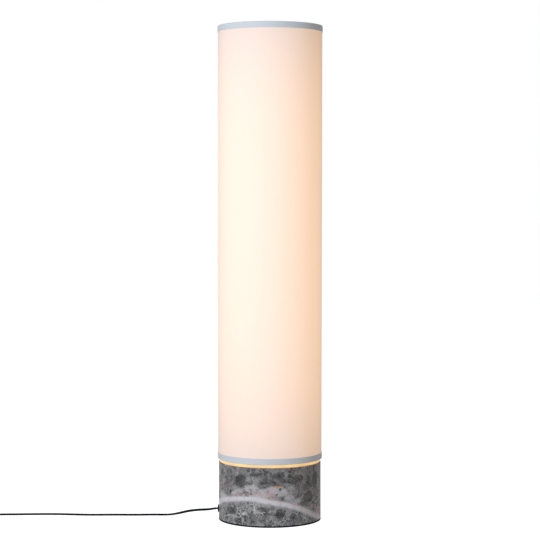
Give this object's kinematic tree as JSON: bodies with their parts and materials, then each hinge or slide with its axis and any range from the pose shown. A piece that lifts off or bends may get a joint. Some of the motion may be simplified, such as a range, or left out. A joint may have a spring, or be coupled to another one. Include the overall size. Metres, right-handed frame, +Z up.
{
  "type": "column floor lamp",
  "caption": "Tall cylindrical fabric lampshade lit from within, on a low round marble base, with a flat black cord, foot switch and two-pin plug.",
  "frame": {"origin": "centre of the underside of the base, on the floor", "axes": "+Z up along the lamp; the cord leaves towards -X; the pictured front faces -Y"},
  "size_m": [0.809, 0.1925, 0.8],
  "materials": {
    "stone": "honed marble, grey with pale and pink veins",
    "pad_foam": "matt closed-cell foam",
    "steel": "zinc plated",
    "brass": "turned, satin",
    "cap_metal": "rolled screw cap",
    "white_metal": "off-white powder coat",
    "white_plastic": "moulded",
    "opal": "frosted opal, lit",
    "seat_acrylic": "frosted acrylic, lit",
    "shade_fabric": "fine plain weave, off-white",
    "shade_liner": "matt translucent film",
    "trim_tape": "pale grey woven tape",
    "black_plastic": "fine moulded texture",
    "black_rubber": "matt",
    "cord_black": "satin PVC sheath",
    "tie_black": "hook and loop tape",
    "lead_brown": "insulated conductor"
  },
  "bodies": {
    "lamp": {"stone_base": "stone", "base_pad": "pad_foam", "cover_plate": "steel", "cover_screws": "steel", "screw_inserts": "brass", "clamp_washer": "steel", "clamp_nut": "steel", "stem_nipple": "steel", "cord_gland": "black_plastic", "cord_inside": "cord_black", "cord_clamp": "white_plastic", "terminal_block": "white_plastic", "fixing_screws": "steel", "base_leads": "lead_brown", "riser_leads": "lead_brown", "seat_ring": "seat_acrylic", "stem_foot": "white_metal", "stem_tube": "white_metal", "top_nipple": "steel", "bracket_low": "white_metal", "bracket_mid": "white_metal", "bracket_top": "white_metal", "holder_low": "white_plastic", "holder_mid": "white_plastic", "holder_top": "white_plastic", "socket_low": "brass", "socket_mid": "brass", "socket_top": "brass", "holder_nuts": "steel", "collar_screws": "steel", "holder_leads": "lead_brown", "cord_to_switch": "cord_black", "switch_sleeves": "black_rubber", "switch_base": "black_plastic", "switch_cover": "black_plastic", "button_spring": "steel", "switch_block": "white_plastic", "switch_leads": "lead_brown", "switch_screws": "steel", "switch_feet": "pad_foam", "cord_from_switch": "cord_black", "cord_coil": "cord_black", "cord_to_plug": "cord_black", "coil_ties": "tie_black", "plug_body": "black_plastic", "plug_pins": "brass"},
    "shade": {"shade_fabric": "shade_fabric", "shade_liner": "shade_liner", "top_trim": "trim_tape", "bottom_trim": "trim_tape", "top_carrier": "white_metal", "bottom_ring": "steel"},
    "finial": {"finial": "brass"},
    "bulb_low": {"bulb_low_glass": "opal", "bulb_low_cap": "cap_metal"},
    "bulb_mid": {"bulb_mid_glass": "opal", "bulb_mid_cap": "cap_metal"},
    "bulb_top": {"bulb_top_glass": "opal", "bulb_top_cap": "cap_metal"},
    "button": {"switch_button": "black_plastic"}
  },
  "joints": [
    {"name": "shade_lift", "type": "slide", "parent": "lamp", "child": "shade", "axis": [0, 0, 1], "range_m": [0, 0.7]},
    {"name": "finial_unscrew", "type": "hinge", "parent": "shade", "child": "finial", "pos_m": [0, 0, 0.7726], "axis": [0, 0, 1], "range_deg": [0, 2880]},
    {"name": "bulb_low_unscrew", "type": "hinge", "parent": "lamp", "child": "bulb_low", "pos_m": [0.042, 0, 0.1855], "axis": [0, 0, 1], "range_deg": [0, 1440]},
    {"name": "bulb_mid_unscrew", "type": "hinge", "parent": "lamp", "child": "bulb_mid", "pos_m": [-0.021, 0.03637, 0.3855], "axis": [0, 0, 1], "range_deg": [0, 1440]},
    {"name": "bulb_top_unscrew", "type": "hinge", "parent": "lamp", "child": "bulb_top", "pos_m": [-0.021, -0.03637, 0.5855], "axis": [0, 0, 1], "range_deg": [0, 1440]},
    {"name": "button_press", "type": "slide", "parent": "lamp", "child": "button", "axis": [0, 0, -1], "range_m": [0, 0.004], "stiffness_N_per_m": 1500, "springref_m": -0.004, "deforming": ["button_spring"]}
  ]
}
